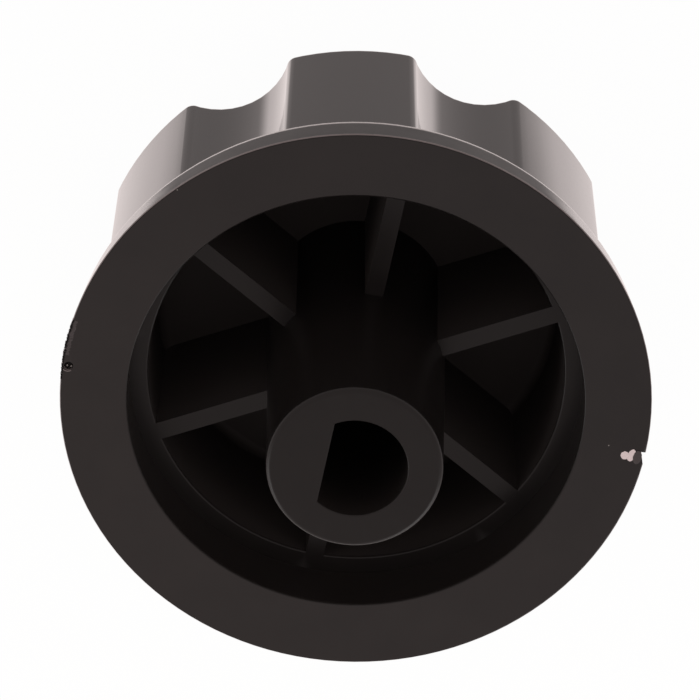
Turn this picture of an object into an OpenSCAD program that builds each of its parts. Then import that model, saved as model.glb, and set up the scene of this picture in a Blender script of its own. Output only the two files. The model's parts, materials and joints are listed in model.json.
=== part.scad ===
// Timer knob, moulded in one piece.
// It stands on its front face: z = 0 is the face that the user sees, and the
// knob's axis is +Z, towards the panel. +X is the side of the shaft's flat.

/* [Grip] */
// Height from the front face to the flange's panel face
grip_h = 15.7; // [13:0.1:20]
// Diameter over the lobes, at the front
lobe_d = 31.8; // [30:0.1:33]
// Diameter across the bottoms of the flutes, at the front
waist_d = 28; // [26:0.1:28.6]
// Radius of one flute
flute_r = 4.7; // [3.5:0.1:6]
// Number of lobes, and of flutes between them
lobe_count = 7; // [5:1:9]
// Draft of the outer walls, in degrees
grip_draft = 1.5; // [0.5:0.25:3]
// Rounding of the front edge
front_edge = 0.5; // [0.2:0.05:0.9]
// Rounding of the corners between the lobes and the flutes
corner_r = 0.35; // [0.15:0.05:0.6]

/* [Flange] */
// Diameter of the panel face
flange_d = 35; // [34.5:0.1:42]
// Thickness of the flange
flange_h = 2.6; // [1.5:0.1:3.5]
// Draft of the flange's rim, in degrees
rim_draft = 7; // [0:0.5:10]
// Rounding of the rim's edge at the panel face
face_edge = 0.12; // [0.05:0.01:0.3]
// Rounding of the rim's edge at the grip
rim_edge = 0.2; // [0.05:0.01:0.4]

/* [Hollow] */
// Thickness of the front wall
front_wall = 2; // [1.2:0.1:3]
// Wall between the hollow and the bottoms of the flutes
grip_wall = 1.9; // [1.5:0.1:2.6]
// Depth of the wide mouth, down to the ledge
mouth_depth = 3.95; // [2.5:0.05:5]
// Width of the ledge round the mouth
ledge_w = 1.12; // [0.5:0.02:1.3]
// Rounding of the mouth's and the ledge's edges
mouth_edge = 0.14; // [0.05:0.01:0.3]
// Rounding between the front wall and the side of the hollow
floor_edge = 0.6; // [0.2:0.1:1]

/* [Ribs] */
// Number of ribs from the boss to the wall
rib_count = 6; // [3:1:8]
// Thickness of a rib at its top
rib_t = 1.1; // [0.7:0.05:1.6]
// Draft of the ribs and of the boss, in degrees
core_draft = 0.5; // [0:0.25:1]

/* [Boss] */
// Diameter of the boss at its end
boss_d = 10.35; // [9:0.05:12]
// How far the boss stands out of the panel face
boss_rise = 8.4; // [4:0.1:12]
// Rounding of the boss's edge
boss_edge = 0.33; // [0.1:0.01:0.6]

/* [Shaft socket] */
// Diameter of the timer's shaft
shaft_d = 6; // [4:0.1:7]
// How much the shaft's flat takes off its diameter
shaft_flat = 1.4; // [0.5:0.1:1.8]
// Clearance round the shaft
shaft_clearance = 0.1; // [0.02:0.01:0.15]
// Depth of the socket
socket_depth = 20; // [10:0.5:20]
// Lead-in round the socket's mouth
lead_in = 0.06; // [0.03:0.01:0.3]

/* [Gate marks] */
// Place of the nick's step, in degrees round from the -X side
nick_turn = 0.9; // [-10:0.1:10]
// Length of the nick along the rim, from its step to where it runs out
nick_len = 0.9; // [0.5:0.05:2]
// How far the nick's step goes in from the rim
nick_in = 0.3; // [0.1:0.05:0.6]
// How far the nick goes down from the panel face
nick_down = 1.1; // [0.5:0.05:1.4]
// Place of the small pit, in degrees round from the +X side
pit_turn = 3.5; // [-10:0.1:10]
// Diameter of the pit
pit_d = 0.55; // [0.3:0.05:0.8]
// Depth of the pit
pit_depth = 0.3; // [0.1:0.05:0.6]

/* [Hidden] */
$fn = 96;

// Reach of a cutting body past the surface that it opens
over = 1;
// How deep a part sinks into the wall that it grows from
sink = 0.4;
// Steps in a small rounded edge
edge_steps = 5;

lobe_r = lobe_d / 2;
waist_r = waist_d / 2;
flange_r = flange_d / 2;
boss_r = boss_d / 2;
draft = tan(grip_draft);
core = tan(core_draft);

// Heights, from the front face
rim_z = grip_h - flange_h;
ledge_z = grip_h - mouth_depth;
boss_z = grip_h + boss_rise;
socket_z = boss_z - socket_depth;

// Distance from the knob's axis to the axis of a flute
flute_x = waist_r + flute_r;
// A corner's cutter keeps this far off the walls that it runs out into
corner_gap = 0.003;

// The hollow's side keeps the same wall to the flutes all the way down
hollow_r = waist_r + (ledge_z - front_edge) * draft - grip_wall;
floor_r = hollow_r - (ledge_z - front_wall) * draft;
mouth_r = hollow_r + ledge_w;

// The shaft's flat faces +X
bore_r = shaft_d / 2 + shaft_clearance;
bore_flat = shaft_d / 2 - shaft_flat + shaft_clearance;

// The flutes start opposite the lobe on the -X side
flute_step = 360 / lobe_count;
flute_first = 180 + flute_step / 2;
// One rib points along -Y
rib_step = 360 / rib_count;
rib_first = -90;

black = [0.17, 0.16, 0.155];

// Points of a rounded edge about centre c, from angle a0 to angle a1
function edge(c, r, a0, a1) =
    [for (i = [0:edge_steps])
        let (a = a0 + (a1 - a0) * i / edge_steps)
        c + r * [cos(a), sin(a)]];

// How far the drafted walls lean by height z, from the top of the front edge
function lean(z) = (z - front_edge) * draft;

// Axis of a lobe's rounded corner at height z, beside a flute along +X
function corner_axis(z) =
    let (
        to_centre = lobe_r + lean(z) - corner_r,
        to_flute = flute_r - lean(z) + corner_r,
        x = (to_centre ^ 2 - to_flute ^ 2 + flute_x ^ 2) / (2 * flute_x)
    )
    [x, sqrt(to_centre ^ 2 - x ^ 2), z];

// One flute: a tapered cutter whose foot flares round the front edge
module flute() {
    top = grip_h + over;
    translate([flute_x, 0, 0])
        rotate_extrude()
            polygon(concat(
                [[0, -over], [flute_r + front_edge, -over]],
                edge([flute_r + front_edge, front_edge], front_edge, 270, 180),
                [[flute_r - lean(top), top], [0, top]]
            ));
}

// Cutter that rounds the corner between a lobe and the flute along +X.
// It is a wedge, leaning with the draft, with the round taken out of it.
module corner_cutter() {
    foot = corner_axis(front_edge);
    head = corner_axis(rim_z);
    run = head - foot;
    length = norm(run) + over;
    lobe_side = atan2(foot.y, foot.x);
    flute_side = atan2(-foot.y, flute_x - foot.x);
    reach = corner_r + over;
    translate(foot)
        rotate([0, acos(run.z / norm(run)), atan2(run.y, run.x)])
            rotate([0, 0, -atan2(run.y, run.x)])
                difference() {
                    linear_extrude(length)
                        polygon([
                            [0, 0],
                            reach * [cos(flute_side), sin(flute_side)],
                            reach * [cos(lobe_side), sin(lobe_side)]
                        ]);
                    translate([0, 0, -over])
                        cylinder(r = corner_r + corner_gap, h = length + 2 * over);
                }
}

// Drafted grip with its lobes, closed at the front
module grip() {
    top = grip_h - sink;
    difference() {
        rotate_extrude()
            polygon(concat(
                [[0, 0]],
                edge([lobe_r - front_edge, front_edge], front_edge, 270, 360),
                [[lobe_r + lean(top), top], [0, top]]
            ));
        for (i = [0:lobe_count - 1])
            rotate([0, 0, flute_first + i * flute_step]) {
                flute();
                corner_cutter();
                mirror([0, 1, 0])
                    corner_cutter();
            }
    }
}

// Flange: a disc with a drafted rim
module flange() {
    slope = tan(rim_draft);
    top_r = flange_r - flange_h * slope;
    rotate_extrude()
        polygon(concat(
            [[0, rim_z]],
            edge([top_r - rim_edge, rim_z + rim_edge], rim_edge, 270, 360),
            edge([flange_r - face_edge, grip_h - face_edge], face_edge, 0, 90),
            [[0, grip_h]]
        ));
}

// Space inside the knob: mouth, ledge and hollow
module hollow() {
    rotate_extrude()
        polygon(concat(
            [[0, front_wall]],
            edge([floor_r - floor_edge, front_wall + floor_edge], floor_edge, 270, 360),
            edge([hollow_r + mouth_edge, ledge_z - mouth_edge], mouth_edge, 180, 90),
            [[mouth_r, ledge_z]],
            edge([mouth_r + mouth_edge, grip_h - mouth_edge], mouth_edge, 180, 90),
            [[mouth_r + mouth_edge, grip_h + over], [0, grip_h + over]]
        ));
}

// Boss that carries the shaft, from the front wall out past the flange
module boss() {
    foot_z = front_wall - sink;
    foot_r = boss_r + (boss_z - foot_z) * core;
    rotate_extrude()
        polygon(concat(
            [[0, foot_z], [foot_r, foot_z]],
            edge([boss_r - boss_edge, boss_z - boss_edge], boss_edge, 0, 90),
            [[0, boss_z]]
        ));
}

// One rib along +X, flush with the ledge and a little thicker at its foot
module rib() {
    foot_z = front_wall - sink;
    foot = rib_t / 2 + (ledge_z - foot_z) * core;
    rotate([90, 0, 90])
        linear_extrude(hollow_r + sink)
            polygon([
                [-foot, foot_z],
                [foot, foot_z],
                [rib_t / 2, ledge_z],
                [-rib_t / 2, ledge_z]
            ]);
}

// Outline of the socket: a circle cut by the shaft's flat
module socket_outline() {
    intersection() {
        circle(bore_r);
        translate([-bore_r, -bore_r])
            square([bore_r + bore_flat, 2 * bore_r]);
    }
}

// D-shaped socket with its lead-in
module socket() {
    translate([0, 0, socket_z])
        linear_extrude(socket_depth + over)
            socket_outline();
    lead_z = boss_z - lead_in;
    wide = bore_r + lead_in;
    intersection() {
        rotate_extrude()
            polygon([
                [0, lead_z],
                [bore_r, lead_z],
                [wide, boss_z],
                [wide, boss_z + over],
                [0, boss_z + over]
            ]);
        rotate([90, 0, 0])
            linear_extrude(4 * bore_r, center = true)
                polygon([
                    [-2 * bore_r, lead_z],
                    [bore_flat, lead_z],
                    [bore_flat + lead_in, boss_z],
                    [bore_flat + lead_in, boss_z + over],
                    [-2 * bore_r, boss_z + over]
                ]);
    }
}

// Nick where the gate was broken off the rim: a step that runs out along the rim
module nick() {
    rotate([0, 0, 180 + nick_turn])
        translate([flange_r, 0, grip_h - nick_down])
            linear_extrude(nick_down + over)
                polygon([[-nick_in, 0], [0, -nick_len], [over, -nick_len], [over, 0]]);
}

// Small round pit beside the rim's edge
module pit() {
    rotate([0, 0, pit_turn])
        translate([flange_r - face_edge - pit_d / 2, 0, grip_h - pit_depth])
            cylinder(d = pit_d, h = pit_depth + over);
}

module knob() {
    color(black)
    difference() {
        union() {
            difference() {
                union() {
                    grip();
                    flange();
                }
                hollow();
            }
            boss();
            for (i = [0:rib_count - 1])
                rotate([0, 0, rib_first + i * rib_step])
                    rib();
        }
        socket();
        nick();
        pit();
    }
}

knob();
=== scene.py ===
import json
import math
import random

import bmesh
import bpy
from mathutils import Matrix, Vector


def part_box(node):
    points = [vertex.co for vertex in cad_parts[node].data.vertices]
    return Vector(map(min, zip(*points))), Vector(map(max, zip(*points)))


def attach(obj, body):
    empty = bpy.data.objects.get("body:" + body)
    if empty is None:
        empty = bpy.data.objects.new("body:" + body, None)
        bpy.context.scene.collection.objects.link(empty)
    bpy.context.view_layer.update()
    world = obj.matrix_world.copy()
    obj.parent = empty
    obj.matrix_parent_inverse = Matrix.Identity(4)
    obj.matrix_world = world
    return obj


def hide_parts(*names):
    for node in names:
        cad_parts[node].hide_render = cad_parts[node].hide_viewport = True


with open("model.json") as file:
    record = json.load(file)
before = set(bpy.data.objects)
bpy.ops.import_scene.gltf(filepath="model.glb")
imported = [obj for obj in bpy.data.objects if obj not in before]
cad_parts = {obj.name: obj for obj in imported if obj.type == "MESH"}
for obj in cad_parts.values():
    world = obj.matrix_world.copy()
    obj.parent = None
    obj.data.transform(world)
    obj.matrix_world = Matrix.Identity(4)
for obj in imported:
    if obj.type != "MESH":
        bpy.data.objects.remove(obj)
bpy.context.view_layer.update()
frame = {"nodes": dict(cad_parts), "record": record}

mm = 0.001
scene = bpy.context.scene
cadKnob = frame["nodes"]["knob"]
mountPlace = {mount["name"]: Vector(mount["pos_m"]) for mount in frame["record"]["mounts"]}
panelZ = mountPlace["flange_face"].z  # height of the flange's panel face
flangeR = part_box("knob")[1].x


# Colours, nodes and pieces

def linear(hexText):
    channels = [int(hexText[i:i + 2], 16) / 255 for i in (1, 3, 5)]
    flat = [c / 12.92 if c <= 0.04045 else ((c + 0.055) / 1.055) ** 2.4 for c in channels]
    return (*flat, 1.0)


def addNode(tree, kind, settings=None, links=None):
    node = tree.nodes.new(kind)
    for name, value in (settings or {}).items():
        if isinstance(name, str) and hasattr(node, name):
            setattr(node, name, value)
        else:
            node.inputs[name].default_value = value
    for name, source in (links or {}).items():
        tree.links.new(source, node.inputs[name])
    return node


def newMaterial(name):
    material = bpy.data.materials.new(name)
    material.use_nodes = True
    material.node_tree.nodes.clear()
    return material


def newPiece(name, bm, materials):
    mesh = bpy.data.meshes.new(name)
    bm.to_mesh(mesh)
    bm.free()
    for material in materials:
        mesh.materials.append(material)
    piece = bpy.data.objects.new(name, mesh)
    scene.collection.objects.link(piece)
    return piece


# Camera: the photograph looks down on the panel side, with the picture turned over

camera = {
    "turn": 10.6,        # degrees that the knob is turned under the camera
    "rise": 63.41,       # degrees above the panel face
    "roll": 1.052,       # degrees that the picture leans
    "distance": 462.16,  # mm from the panel face
    "aimRight": 0.3375,  # mm from the flange's centre to the picture's centre
    "aimDown": 3.137,
    "lens": 402.3,
    "sensor": 36.0,
    "near": 0.01,        # metres
    "far": 20,
}


def makeCamera():
    turn, rise, roll = (math.radians(camera[key]) for key in ("turn", "rise", "roll"))
    back = Vector((math.sin(turn) * math.cos(rise), -math.cos(turn) * math.cos(rise), math.sin(rise)))
    level = Vector((math.cos(turn), math.sin(turn), 0))
    away = Vector((-math.sin(turn) * math.sin(rise), math.cos(turn) * math.sin(rise), math.cos(rise)))
    right = -level * math.cos(roll) - away * math.sin(roll)
    down = -level * math.sin(roll) + away * math.cos(roll)
    aim = Vector((0, 0, panelZ)) - (right * camera["aimRight"] + down * camera["aimDown"]) * mm
    data = bpy.data.cameras.new("camera")
    data.sensor_width = camera["sensor"]
    data.lens = camera["lens"]
    data.clip_start = camera["near"]
    data.clip_end = camera["far"]
    eye = bpy.data.objects.new("camera", data)
    turned = Matrix((right, -down, back)).transposed().to_4x4()
    eye.matrix_world = Matrix.Translation(aim + back * camera["distance"] * mm) @ turned
    scene.collection.objects.link(eye)
    scene.camera = eye
    print("camera set", [round(v, 4) for v in eye.location])


# Studio: white sweep, plain sky and a soft box low down at each side

studio = {
    "floorSize": 3.0,
    "floorGap": 0.02,         # mm under the knob, so that the two faces don't flicker
    "floorColour": "#f4f3f1",
    "floorGlow": 0.97,        # share of the floor that is seen as plain white
    "glossColour": "#fff3f1",  # the white that gloss mirrors
    "skyColour": "#fff1ee",
    "skyLight": 0.9,          # what the sky gives to the object
    "boxSize": 0.35,
    "boxPower": 0.8,
    "leftBox": (0.38, 0.44, 0.22),
    "rightBox": (-0.38, 0.44, 0.22),
}


def makeFloor():
    bm = bmesh.new()
    below = Matrix.Translation((0, 0, -studio["floorGap"] * mm))
    bmesh.ops.create_grid(bm, x_segments=1, y_segments=1, size=studio["floorSize"] / 2, matrix=below)
    material = newMaterial("matt white paper sweep")
    tree = material.node_tree
    path = addNode(tree, "ShaderNodeLightPath")
    mirrored = addNode(tree, "ShaderNodeMath", {"operation": "MAXIMUM"},
                       {0: path.outputs["Is Glossy Ray"], 1: path.outputs["Is Transmission Ray"]})
    seen = addNode(tree, "ShaderNodeMath", {"operation": "MAXIMUM"},
                   {0: path.outputs["Is Camera Ray"], 1: mirrored.outputs[0]})
    white = addNode(tree, "ShaderNodeMix", {"data_type": "RGBA"}, {0: mirrored.outputs[0]})
    white.inputs[6].default_value = (1, 1, 1, 1)
    white.inputs[7].default_value = linear(studio["glossColour"])
    glow = addNode(tree, "ShaderNodeEmission", {"Strength": 1.0}, {"Color": white.outputs[2]})
    paper = addNode(tree, "ShaderNodeBsdfDiffuse", {"Color": linear(studio["floorColour"])})
    share = addNode(tree, "ShaderNodeMath", {"operation": "MULTIPLY", 1: studio["floorGlow"]},
                    {0: seen.outputs[0]})
    mix = addNode(tree, "ShaderNodeMixShader", {},
                  {"Fac": share.outputs[0], 1: paper.outputs[0], 2: glow.outputs[0]})
    addNode(tree, "ShaderNodeOutputMaterial", {}, {"Surface": mix.outputs[0]})
    floor = newPiece("floor", bm, [material])
    print("floor laid")


def addSoftBox(name, place):
    data = bpy.data.lights.new(name, "AREA")
    data.shape = "SQUARE"
    data.size = studio["boxSize"]
    data.energy = studio["boxPower"]
    lamp = bpy.data.objects.new(name, data)
    lamp.location = place
    lamp.rotation_euler = (-Vector(place)).to_track_quat("-Z", "Y").to_euler()
    scene.collection.objects.link(lamp)


def makeLight():
    world = bpy.data.worlds.new("plain sky")
    scene.world = world
    world.use_nodes = True
    tree = world.node_tree
    tree.nodes.clear()
    light = addNode(tree, "ShaderNodeBackground",
                    {"Color": linear(studio["skyColour"]), "Strength": studio["skyLight"]})
    white = addNode(tree, "ShaderNodeBackground", {"Color": (1, 1, 1, 1), "Strength": 1.0})
    path = addNode(tree, "ShaderNodeLightPath")
    mix = addNode(tree, "ShaderNodeMixShader", {},
                  {"Fac": path.outputs["Is Camera Ray"], 1: light.outputs[0], 2: white.outputs[0]})
    addNode(tree, "ShaderNodeOutputWorld", {}, {"Surface": mix.outputs[0]})
    addSoftBox("left soft box", studio["leftBox"])
    addSoftBox("right soft box", studio["rightBox"])
    print("light set")


# Black ABS, injection moulded. Each region of the mould leaves its own finish; some finishes also carry
# painted light or painted highlights, as noted.
# glareFrom and glareTo are how far a wall turns away, from 0 to 1, where its skin starts to shine.

absFinish = {
    "lobeSide": {       # polished cavity, then rubbed by fingers: a clear shine with a soft edge
        "colour": "#0b0a0a", "paleColour": "#0f0e0d", "roughness": 0.14, "roughSpread": 0.03,
        "specular": 0.24, "skinIor": 1.58, "glareFrom": 0.68, "glareTo": 0.76,
    },
    "fluteSide": {      # polished cavity that fingers rub less: its shine breaks off sharply
        "colour": "#0b0a0a", "paleColour": "#0f0e0d", "roughness": 0.11, "roughSpread": 0.02,
        "specular": 0.28, "skinIor": 1.95, "glareFrom": 0.685, "glareTo": 0.75,
    },
    "rimSide": {        # rim of the flange: duller, and it shines later
        "colour": "#0b0a0a", "paleColour": "#100e0e", "roughness": 0.36, "roughSpread": 0.05,
        "specular": 0.1, "skinIor": 1.62, "glareFrom": 0.8, "glareTo": 0.86,
    },
    "paintedRimEdgeHighlight": {    # the rim's edge by the grip, where the mould parts: its pale colour is a painted highlight along that edge
        "colour": "#645e5e", "paleColour": "#8b8585", "roughness": 0.4, "roughSpread": 0.1,
        "specular": 0.4, "skinIor": 2.0, "glareFrom": 0.64, "glareTo": 0.76,
    },
    "paintedFaceEdgeHighlight": {       # the rim's edge at the panel face: its pale colour is a painted highlight on the rounding
        "colour": "#5a5454", "paleColour": "#6f6969", "roughness": 0.3, "roughSpread": 0.08,
        "specular": 0.4, "skinIor": 2.0, "glareFrom": 0.62, "glareTo": 0.76,
    },
    "panelFace": {      # flat face of the flange: handled, a little greyer
        "colour": "#171515", "paleColour": "#1f1c1b", "roughness": 0.24, "roughSpread": 0.04,
        "specular": 0.3, "skinIor": 1.58, "glareFrom": 0.7, "glareTo": 0.85,
    },
    "innerSide": {      # mouth, ledge, rib tops and boss: a finely stoned core with a dull shine
        "colour": "#121010", "paleColour": "#161413", "roughness": 0.3, "roughSpread": 0.05,
        "specular": 0.23, "skinIor": 1.58, "glareFrom": 1.0, "glareTo": 1.1,
    },
    "mouthSide": {      # walls of the mouth and the socket: drawn off the core, a little paler
        "colour": "#1c1a19", "paleColour": "#211e1d", "roughness": 0.34, "roughSpread": 0.05,
        "specular": 0.24, "skinIor": 1.58, "glareFrom": 1.0, "glareTo": 1.1,
    },
    "coreSidePaintedLight": {       # hollow, left matt by the eroded core; its paler colour is painted light that lifts the dark hollow
        "colour": "#2c2928", "paleColour": "#322f2e", "roughness": 0.55, "roughSpread": 0.08,
        "specular": 0.15, "skinIor": 1.58, "glareFrom": 1.0, "glareTo": 1.1,
    },
}

absCommon = {
    "ior": 1.46,
    "skinRoughness": 0.05,
    "flowWidth": 3.0,      # mm, width of the faint flow marks
    "flowDetail": 3.0,
    "peelWidth": 0.5,      # mm, grain of the faint orange peel
    "peelDetail": 2.0,
    "peelHeight": 0.0008,  # mm
    "paintedLightToward": (0.7, 0.7, 0.0),  # every black ABS surface grows paler this way: a painted reflection gradient
    "paintedLightReach": 14.0,     # mm each way over which the painted reflection grows
    "paintedLightShare": 0.3,      # how much of the paler colour it adds or takes there
}


def blackAbs(name, finish):
    material = newMaterial(name)
    tree = material.node_tree
    place = addNode(tree, "ShaderNodeTexCoord").outputs["Object"]
    flow = addNode(tree, "ShaderNodeTexNoise",
                   {"Scale": 1 / (absCommon["flowWidth"] * mm), "Detail": absCommon["flowDetail"]},
                   {"Vector": place})
    peel = addNode(tree, "ShaderNodeTexNoise",
                   {"Scale": 1 / (absCommon["peelWidth"] * mm), "Detail": absCommon["peelDetail"]},
                   {"Vector": place})
    # painted reflection: the colour grows paler along one direction across the knob
    across = addNode(tree, "ShaderNodeVectorMath",
                     {"operation": "DOT_PRODUCT", 1: absCommon["paintedLightToward"]}, {0: place})
    paintedLightReach, paintedLightShare = absCommon["paintedLightReach"] * mm, absCommon["paintedLightShare"]
    paintedLightDrift = addNode(tree, "ShaderNodeMapRange",
                    {"From Min": -paintedLightReach, "From Max": paintedLightReach,
                     "To Min": -paintedLightShare, "To Max": paintedLightShare}, {"Value": across.outputs["Value"]})
    amount = addNode(tree, "ShaderNodeMath", {"operation": "ADD", "use_clamp": True},
                     {0: flow.outputs["Fac"], 1: paintedLightDrift.outputs["Result"]})
    colour = addNode(tree, "ShaderNodeMix", {"data_type": "RGBA"}, {0: amount.outputs[0]})
    colour.inputs[6].default_value = linear(finish["colour"])
    colour.inputs[7].default_value = linear(finish["paleColour"])
    rough = addNode(tree, "ShaderNodeMapRange",
                    {"To Min": finish["roughness"] - finish["roughSpread"],
                     "To Max": finish["roughness"] + finish["roughSpread"]},
                    {"Value": flow.outputs["Fac"]})
    bump = addNode(tree, "ShaderNodeBump", {"Strength": 1.0, "Distance": absCommon["peelHeight"] * mm},
                   {"Height": peel.outputs["Fac"]})
    turned = addNode(tree, "ShaderNodeLayerWeight", {"Blend": 0.5})
    glare = addNode(tree, "ShaderNodeMapRange",
                    {"interpolation_type": "SMOOTHSTEP",
                     "From Min": finish["glareFrom"], "From Max": finish["glareTo"]},
                    {"Value": turned.outputs["Facing"]})
    shader = addNode(tree, "ShaderNodeBsdfPrincipled",
                     {"IOR": absCommon["ior"], "Specular IOR Level": finish["specular"],
                      "Coat IOR": finish["skinIor"], "Coat Roughness": absCommon["skinRoughness"]},
                     {"Base Color": colour.outputs[2], "Roughness": rough.outputs["Result"],
                      "Normal": bump.outputs["Normal"], "Coat Weight": glare.outputs["Result"]})
    addNode(tree, "ShaderNodeOutputMaterial", {}, {"Surface": shader.outputs[0]})
    return material


# Grip: the lobed outline under the flange, drafted down to a rounded front edge

grip = {
    "lobes": 7,
    "lobeRadius": 15.9,    # mm over the lobes, at the front
    "fluteRadius": 4.357,  # mm, all the way down
    "fluteReach": 18.357,  # mm from the knob's axis to the middle of a flute, at the front
    "draft": 1.5,          # degrees that the lobes and the flutes lean out towards the flange
    "flangeDepth": 2.6,    # mm from the panel face to the top of the grip
    "lobeSteps": 9,
    "fluteSteps": 12,
    "weld": 0.001,         # mm within which the arcs' ends are joined
    "cornerAngle": 30,     # degrees from which the outline has a corner
    "cornerEase": 0.35,    # mm taken off each side of a corner between a lobe and a flute
    "frontRound": 0.5,     # mm
    "roundSteps": 6,
    "cornerReach": 0.3,    # mm past the flute that a rounded corner takes
}
gripTop = panelZ - grip["flangeDepth"] * mm
lobeStep = 2 * math.pi / grip["lobes"]
fluteTurns = [math.pi + (i + 0.5) * lobeStep for i in range(grip["lobes"])]


def leanAt(height):
    return height * math.tan(math.radians(grip["draft"]))


def drawLobedOutline(bm, height):
    lobeR = grip["lobeRadius"] * mm + leanAt(height)
    fluteR = grip["fluteRadius"] * mm
    reach = grip["fluteReach"] * mm + leanAt(height)
    across = (lobeR ** 2 - fluteR ** 2 + reach ** 2) / (2 * reach)
    half = math.acos(across / lobeR)
    sweep = 2 * math.acos((reach - across) / fluteR)
    known = set(bm.verts)
    for turn in fluteTurns:
        corner = bm.verts.new((lobeR * math.cos(turn - half), lobeR * math.sin(turn - half), height))
        fluteAxis = (reach * math.cos(turn), reach * math.sin(turn), height)
        flute = bmesh.ops.spin(bm, geom=[corner], cent=fluteAxis, axis=(0, 0, 1), angle=-sweep,
                               steps=grip["fluteSteps"])
        end = [item for item in flute["geom_last"] if isinstance(item, bmesh.types.BMVert)]
        bmesh.ops.spin(bm, geom=end, cent=(0, 0, height), axis=(0, 0, 1), angle=lobeStep - 2 * half,
                       steps=grip["lobeSteps"])
    drawn = [vert for vert in bm.verts if vert not in known]
    bmesh.ops.remove_doubles(bm, verts=drawn, dist=grip["weld"] * mm)
    return [vert for vert in bm.verts if vert not in known]


def edgesAt(verts):
    return list(dict.fromkeys(edge for vert in verts for edge in vert.link_edges))


def makeGripSkin():
    bm = bmesh.new()
    upper = drawLobedOutline(bm, gripTop)
    corners = [vert for vert in upper if vert.calc_edge_angle() > math.radians(grip["cornerAngle"])]
    frontLoop = edgesAt(drawLobedOutline(bm, 0))
    bmesh.ops.bridge_loops(bm, edges=edgesAt(upper) + frontLoop)
    bmesh.ops.contextual_create(bm, geom=frontLoop)
    bmesh.ops.recalc_face_normals(bm, faces=bm.faces)
    upright = [edge for vert in corners for edge in vert.link_edges
               if abs(edge.verts[0].co.z - edge.verts[1].co.z) > gripTop / 2]
    bmesh.ops.bevel(bm, geom=upright, offset=grip["cornerEase"] * mm, offset_type="OFFSET",
                    segments=grip["roundSteps"], profile=0.5, affect="EDGES", clamp_overlap=True,
                    material=-1)
    front = min(bm.faces, key=lambda face: face.calc_center_median().z)
    bmesh.ops.bevel(bm, geom=list(front.edges), offset=grip["frontRound"] * mm, offset_type="OFFSET",
                    segments=grip["roundSteps"], profile=0.5, affect="EDGES", clamp_overlap=True,
                    material=-1)
    mesh = bpy.data.meshes.new("grip_skin")
    bm.to_mesh(mesh)
    bm.free()
    heights = sorted({round(vert.co.z / mm, 3) for vert in mesh.vertices})
    print("grip drawn", len(mesh.polygons), "faces, front edge rounded up to", heights[-2], "mm")
    return mesh


# Moulding: the CAD solid with a smooth grip, eased edges and a finish for each region of the mould

moulding = {
    "weld": 0.001,       # mm within which the CAD mesh's loose corners are joined
    "seamGap": 0.002,    # mm within which a corner lies on the seam between flange and grip
    "cutGap": 0.0005,    # mm within which a corner lies on the parting line
    "edgeRound": 0.06,   # mm, the small radius that a polished mould leaves on sharp edges
    "edgeAngle": 30,     # degrees from which an edge is eased
    "roundSteps": 2,
    "gripReach": 13.8,   # mm from the axis, past which the grip's outside lies
    "frontWall": 1.9,    # mm of the front wall that belongs to the outside
    "rimWidth": 0.6,     # mm in from the flange's outline
    "paintedFaceEdgeHighlight": 0.12,    # mm, rounding of the rim at the panel face
    "edgeLean": (-0.05, 0.85),  # how far up its facets look, from 0 for a wall to 1 for a flat
    "paintedRimEdgeHighlight": 0.38,  # mm up the rim that the painted highlight reaches
    "faceGap": 0.02,     # mm within which a facet lies on the panel face
    "flatFrom": 0.9,     # how far up a flat looks, at least
    "wallTo": 0.5,       # how far up or down a wall looks, at most
    "ledgeDepth": 3.95,  # mm from the panel face to the ledge
    "ledgeEdge": 0.13,   # mm, rounding of the ledge
    "bossReach": 5.5,    # mm round the axis that the boss takes
    "mouthReach": 8.0,   # mm from the axis, past which upright walls are the mouth's
    "socketReach": 3.2,  # mm round the axis that the socket takes
}


def onGripOutside(face):
    spot = face.calc_center_median()
    reach = math.hypot(spot.x, spot.y)
    underFlange = spot.z < gripTop + moulding["seamGap"] * mm
    return spot.z < moulding["frontWall"] * mm or (underFlange and reach > moulding["gripReach"] * mm)


def inFlute(spot):
    reach = grip["fluteReach"] * mm + leanAt(spot.z)
    nearest = min(math.hypot(spot.x - reach * math.cos(turn), spot.y - reach * math.sin(turn))
                  for turn in fluteTurns)
    return nearest < (grip["fluteRadius"] + grip["cornerReach"]) * mm


def finishAt(face):
    spot = face.calc_center_median()
    reach = math.hypot(spot.x, spot.y)
    height = spot.z
    if onGripOutside(face):
        return "fluteSide" if inFlute(spot) else "lobeSide"
    up = face.normal.z
    if abs(height - panelZ) < moulding["faceGap"] * mm and up > moulding["flatFrom"]:
        return "panelFace"
    if reach > flangeR - moulding["rimWidth"] * mm:
        # the rim's band next to the grip is coloured pale: a painted highlight
        if height < gripTop + moulding["paintedRimEdgeHighlight"] * mm:
            return "paintedRimEdgeHighlight"
        low, high = moulding["edgeLean"]
        # the rim's rounding at the panel face is coloured pale: a painted highlight
        nearFace = height > panelZ - moulding["paintedFaceEdgeHighlight"] * mm
        return "paintedFaceEdgeHighlight" if nearFace and low < up < high else "rimSide"
    onWall = abs(up) < moulding["wallTo"]
    if onWall and reach < moulding["socketReach"] * mm:
        return "mouthSide"
    if onWall and reach < moulding["bossReach"] * mm:
        return "innerSide"
    # below the ledge the hollow gets a paler colour: painted light
    if height < panelZ - (moulding["ledgeDepth"] + moulding["ledgeEdge"]) * mm:
        return "coreSidePaintedLight"
    return "mouthSide" if onWall and reach > moulding["mouthReach"] * mm else "innerSide"


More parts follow.
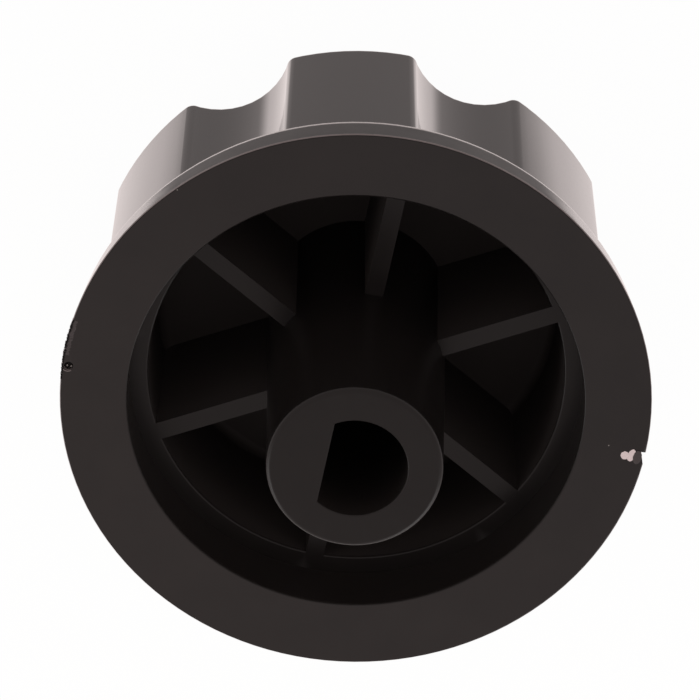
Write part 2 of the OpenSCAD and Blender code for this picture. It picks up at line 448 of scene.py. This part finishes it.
def makeMoulding():
    finishNames = list(absFinish)
    bm = bmesh.new()
    bm.from_mesh(cadKnob.data)
    bmesh.ops.remove_doubles(bm, verts=bm.verts, dist=moulding["weld"] * mm)
    bm.normal_update()
    rough = [face for face in bm.faces if onGripOutside(face)]
    bmesh.ops.delete(bm, geom=rough, context="FACES")
    rim = [face for face in bm.faces
           if face.calc_center_median().xy.length > flangeR - moulding["rimWidth"] * mm]
    rimParts = dict.fromkeys(part for face in rim for part in (face, *face.verts, *face.edges))
    paintedHighlightZ = gripTop + moulding["paintedRimEdgeHighlight"] * mm
    bmesh.ops.bisect_plane(bm, geom=list(rimParts), dist=moulding["cutGap"] * mm,
                           plane_co=(0, 0, paintedHighlightZ), plane_no=(0, 0, 1))
    bm.from_mesh(makeGripSkin())
    seamGap = moulding["seamGap"] * mm
    seam = [edge for edge in bm.edges if edge.is_boundary
            and all(abs(vert.co.z - gripTop) < seamGap for vert in edge.verts)]
    bmesh.ops.bridge_loops(bm, edges=seam)
    bmesh.ops.recalc_face_normals(bm, faces=bm.faces)
    openEdges = sum(1 for edge in bm.edges if not edge.is_manifold)
    for face in bm.faces:
        face.smooth = True
        face.material_index = finishNames.index(finishAt(face))
    materials = [blackAbs("black ABS, " + name, absFinish[name]) for name in finishNames]
    piece = newPiece("knob_moulding", bm, materials)
    piece.data.set_sharp_from_angle(angle=math.radians(moulding["edgeAngle"]))
    ease = piece.modifiers.new("eased edges", "BEVEL")
    ease.width = moulding["edgeRound"] * mm
    ease.segments = moulding["roundSteps"]
    ease.limit_method = "ANGLE"
    ease.angle_limit = math.radians(moulding["edgeAngle"])
    even = piece.modifiers.new("flat faces stay flat", "WEIGHTED_NORMAL")
    even.keep_sharp = True
    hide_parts("knob")
    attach(piece, "root")
    print("moulding dressed", len(piece.data.vertices), "corners,", openEdges, "open edges")


# Gate scar: two torn blisters on the panel face, whitened where the gate was broken off

gateScar = {
    "blisters": [        # mm on the panel face: centre, half width and half length, then turn in degrees
        ((-16.70, 0.06), (0.24, 0.41), -8),
        ((-16.31, 0.14), (0.25, 0.27), 12),
    ],
    "steps": [           # mm: how far in, how far up, then 0 for the whitened edge or 1 for the inside
        (0.02, 0.05, 0),
        (0.045, 0.0, 1),
        (0.03, -0.02, 1),
    ],
    "segments": 24,
    "sunk": 0.01,        # mm that a blister's foot lies under the panel face
    "tear": 0.012,       # mm of raggedness
    "seed": 5,
    "patchPlace": (-17.06, 0.12),
    "patchSize": (0.26, 0.45),
    "patchRise": 0.02,
    "patchSteps": 3,
    "patchStep": 0.06,   # mm in, each step
    "edgeTone": ("#ffffff", 0.95),  # colour, and how much of it is left in the grain's hollows
    "innerTone": ("#d2c7c7", 0.8),
    "patchTone": ("#383232", 0.5),
}

# Torn ABS: broken and not moulded, so its fine grain scatters the light, pale and without shine
tornGrain = {
    "width": 0.08,       # mm, drawn coarser than the real one, so that it shows
    "detail": 3.0,
    "height": 0.006,     # mm
    "roughness": 0.6,
}


def roughGrain(name, colour, depth):
    material = newMaterial(name)
    tree = material.node_tree
    place = addNode(tree, "ShaderNodeTexCoord").outputs["Object"]
    grain = addNode(tree, "ShaderNodeTexNoise",
                    {"Scale": 1 / (tornGrain["width"] * mm), "Detail": tornGrain["detail"]},
                    {"Vector": place})
    tone = addNode(tree, "ShaderNodeMix", {"data_type": "RGBA"}, {0: grain.outputs["Fac"]})
    tone.inputs[6].default_value = tuple(depth * c for c in linear(colour)[:3]) + (1.0,)
    tone.inputs[7].default_value = linear(colour)
    bump = addNode(tree, "ShaderNodeBump", {"Strength": 1.0, "Distance": tornGrain["height"] * mm},
                   {"Height": grain.outputs["Fac"]})
    shader = addNode(tree, "ShaderNodeBsdfPrincipled",
                     {"Roughness": tornGrain["roughness"], "IOR": absCommon["ior"]},
                     {"Base Color": tone.outputs[2], "Normal": bump.outputs["Normal"]})
    addNode(tree, "ShaderNodeOutputMaterial", {}, {"Surface": shader.outputs[0]})
    return material


def addBlister(bm, place, size, turn):
    made = bmesh.ops.create_circle(bm, cap_ends=True, segments=gateScar["segments"], radius=1.0)
    shape = (Matrix.Translation((place[0] * mm, place[1] * mm, panelZ - gateScar["sunk"] * mm))
             @ Matrix.Rotation(math.radians(turn), 4, "Z")
             @ Matrix.Diagonal((size[0] * mm, size[1] * mm, 1.0, 1.0)))
    bmesh.ops.transform(bm, matrix=shape, verts=made["verts"])
    cap = made["verts"][0].link_faces[0]
    if cap.normal.z < 0:
        cap.normal_flip()
    return cap


def makeGateScar():
    chance = random.Random(gateScar["seed"])
    bm = bmesh.new()
    for place, size, turn in gateScar["blisters"]:
        cap = addBlister(bm, place, size, turn)
        for inward, lift, colour in gateScar["steps"]:
            bmesh.ops.inset_region(bm, faces=[cap], thickness=inward * mm)
            bmesh.ops.translate(bm, vec=(0, 0, lift * mm), verts=cap.verts)
            cap.material_index = colour
        bmesh.ops.poke(bm, faces=[cap])
    patch = addBlister(bm, gateScar["patchPlace"], gateScar["patchSize"], 0)
    patch.material_index = 2
    for step in range(gateScar["patchSteps"]):
        bmesh.ops.inset_region(bm, faces=[patch], thickness=gateScar["patchStep"] * mm)
        bmesh.ops.translate(bm, vec=(0, 0, chance.uniform(0.5, 1) * gateScar["patchRise"] * mm),
                            verts=patch.verts)
    bmesh.ops.poke(bm, faces=[patch])
    tear = gateScar["tear"] * mm
    for vert in bm.verts:
        vert.co += Vector([chance.uniform(-tear, tear) for axis in range(3)])
    for face in bm.faces:
        face.smooth = False
    piece = newPiece("gate_scar", bm, [
        roughGrain("torn ABS, stress whitened edge", *gateScar["edgeTone"]),
        roughGrain("torn ABS, whitened inside", *gateScar["innerTone"]),
        roughGrain("torn ABS, thin skin", *gateScar["patchTone"]),
    ])
    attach(piece, "root")
    print("gate scar torn")


# Flash: the ragged thread of plastic along the rim

rimFlash = {
    "from": -6.5,       # degrees round from the +X side
    "to": 6.5,
    "steps": 70,
    "inside": 0.1,      # mm from the flange's outline to where it grows from
    "proud": 0.004,     # mm over the panel face
    "height": 0.28,     # mm down the rim
    "reach": 0.06,      # mm out of the rim
    "outDraw": (-0.7, 1.0),   # shares of that reach that a corner is drawn in or out
    "upDraw": (-0.6, 0.3),    # and down or up
    "rootBand": 0.01,   # mm beside its root that stay where they are
    "topBand": 0.1,     # mm down the rim that are drawn up or down
    "seed": 11,
}


def sweepRing(corners, fromTurn, toTurn, steps):
    bm = bmesh.new()
    profile = [bm.verts.new((reach, 0, height)) for reach, height in corners]
    count = len(profile)
    ring = [bm.edges.new((profile[i], profile[(i + 1) % count])) for i in range(count)]
    start = math.radians(fromTurn)
    bmesh.ops.rotate(bm, cent=(0, 0, 0), matrix=Matrix.Rotation(start, 3, "Z"), verts=profile)
    bmesh.ops.spin(bm, geom=profile + ring, cent=(0, 0, 0), axis=(0, 0, 1),
                   angle=math.radians(toTurn) - start, steps=steps)
    bmesh.ops.holes_fill(bm, edges=[edge for edge in bm.edges if edge.is_boundary], sides=count)
    bmesh.ops.recalc_face_normals(bm, faces=bm.faces)
    return bm


# From 0 at both ends of a strip to 1 at its middle, rising fast
def fadeAlong(vert, fromTurn, toTurn):
    along = (math.degrees(math.atan2(vert.co.y, vert.co.x)) - fromTurn) / (toTurn - fromTurn)
    return math.sqrt(math.sin(math.pi * min(max(along, 0), 1)))


def makeRimFlash():
    chance = random.Random(rimFlash["seed"])
    root = flangeR - rimFlash["inside"] * mm
    top = panelZ + rimFlash["proud"] * mm
    low = panelZ - rimFlash["height"] * mm
    bm = sweepRing([(root, top), (flangeR, top), (flangeR, low), (root, low)],
                   rimFlash["from"], rimFlash["to"], rimFlash["steps"])
    reach = rimFlash["reach"] * mm
    for vert in bm.verts:
        out = Vector((vert.co.x, vert.co.y, 0))
        fade = fadeAlong(vert, rimFlash["from"], rimFlash["to"])
        if out.length > root + rimFlash["rootBand"] * mm:
            vert.co += out.normalized() * chance.uniform(*rimFlash["outDraw"]) * reach * fade
        if vert.co.z > panelZ - rimFlash["topBand"] * mm:
            vert.co.z += chance.uniform(*rimFlash["upDraw"]) * reach * fade
    piece = newPiece("rim_flash", bm, [blackAbs("black ABS, torn flash", absFinish["rimSide"])])
    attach(piece, "root")
    print("flash left on the rim")


# Torn skin: a thin rough strip of the panel face beside the flash

tornSkin = {
    "from": -6.5,       # degrees round from the +X side
    "to": 1.2,
    "steps": 44,
    "inside": (0.12, 0.4),  # mm from the flange's outline
    "wander": 0.25,     # share of its width by which its sides wander
    "rise": 0.02,       # mm
    "riseDraw": (-1.0, 0.5),
    "seed": 12,
}


def makeTornSkin():
    chance = random.Random(tornSkin["seed"])
    outer, inner = (flangeR - inside * mm for inside in tornSkin["inside"])
    wander = (outer - inner) * tornSkin["wander"]
    rise = tornSkin["rise"] * mm
    middle = (outer + inner) / 2
    bm = sweepRing([(inner, panelZ - rise), (middle, panelZ + rise), (outer, panelZ + rise),
                    (outer, panelZ - rise)], tornSkin["from"], tornSkin["to"], tornSkin["steps"])
    for vert in bm.verts:
        out = Vector((vert.co.x, vert.co.y, 0)).normalized()
        vert.co += out * chance.uniform(-1, 1) * wander * fadeAlong(vert, tornSkin["from"], tornSkin["to"])
        vert.co.z += chance.uniform(*tornSkin["riseDraw"]) * rise
    for face in bm.faces:
        face.smooth = False
    piece = newPiece("torn_skin", bm, [roughGrain("torn ABS skin by the rim", *gateScar["patchTone"])])
    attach(piece, "root")
    print("skin torn beside the rim")


# Burr: a short thread pushed up beside the pit, coloured pale as a painted highlight along the pit's edge

pitBurrAndHighlight = {
    "pitPlace": (17.12, 1.05),  # mm on the panel face
    "reach": 0.345,     # mm from the pit's middle
    "thick": 0.03,      # mm, half its width
    "lift": 0.3,        # share of that by which its middle lies over the panel face
    "from": 50,         # degrees round the pit
    "to": 135,
    "steps": 16,
    "sides": 8,
    # pale grey: a painted highlight along the pit's edge
    "tone": ("#6f6868", 0.7),
}


def makePitBurrAndHighlight():
    bm = bmesh.new()
    thick = pitBurrAndHighlight["thick"] * mm
    made = bmesh.ops.create_circle(bm, cap_ends=False, segments=pitBurrAndHighlight["sides"], radius=thick)
    start = math.radians(pitBurrAndHighlight["from"])
    x, y = (side * mm for side in pitBurrAndHighlight["pitPlace"])
    place = (Matrix.Translation((x, y, panelZ + thick * pitBurrAndHighlight["lift"]))
             @ Matrix.Rotation(start, 4, "Z")
             @ Matrix.Translation((pitBurrAndHighlight["reach"] * mm, 0, 0))
             @ Matrix.Rotation(math.pi / 2, 4, "X"))
    bmesh.ops.transform(bm, matrix=place, verts=made["verts"])
    bmesh.ops.spin(bm, geom=bm.verts[:] + bm.edges[:], cent=(x, y, panelZ), axis=(0, 0, 1),
                   angle=math.radians(pitBurrAndHighlight["to"]) - start, steps=pitBurrAndHighlight["steps"])
    openEnds = [edge for edge in bm.edges if edge.is_boundary]
    bmesh.ops.holes_fill(bm, edges=openEnds, sides=pitBurrAndHighlight["sides"])
    bmesh.ops.recalc_face_normals(bm, faces=bm.faces)
    for face in bm.faces:
        face.smooth = True
    piece = newPiece("pit_burr_with_painted_highlight", bm, [roughGrain("pale ABS burr, painted highlight", *pitBurrAndHighlight["tone"])])
    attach(piece, "root")
    print("burr left by the pit")


# Dust: pale, dull grains on the panel face; the two grains in the pit are painted glints

dust = {
    "grains": [          # mm on the panel face, height over it, then radius
        ((-15.235, -0.30, 0.0), 0.035),
        ((12.98, -11.54, 0.0), 0.032),
        # these two, down in the pit, stand in for light caught there: painted glints
        ((17.14, 1.13, -0.24), 0.06),
        ((16.89, 1.13, -0.2), 0.06),
    ],
    "squash": (1.0, 1.2, 0.5),
    "tone": ("#8d8a86", 0.75),
}


def makeDustAndPaintedGlints():
    bm = bmesh.new()
    for (x, y, z), radius in dust["grains"]:
        spot = Matrix.Translation((x * mm, y * mm, panelZ + z * mm))
        bmesh.ops.create_icosphere(bm, subdivisions=2, radius=radius * mm,
                                   matrix=spot @ Matrix.Diagonal((*dust["squash"], 1.0)))
    for face in bm.faces:
        face.smooth = True
    piece = newPiece("dust_and_painted_pit_glints", bm, [roughGrain("pale dust and painted glints", *dust["tone"])])
    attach(piece, "root")
    print("dust settled")


scene.view_settings.view_transform = "Standard"
makeCamera()
makeFloor()
makeLight()
makeMoulding()
makeGateScar()
makeRimFlash()
makeTornSkin()
makePitBurrAndHighlight()
makeDustAndPaintedGlints()
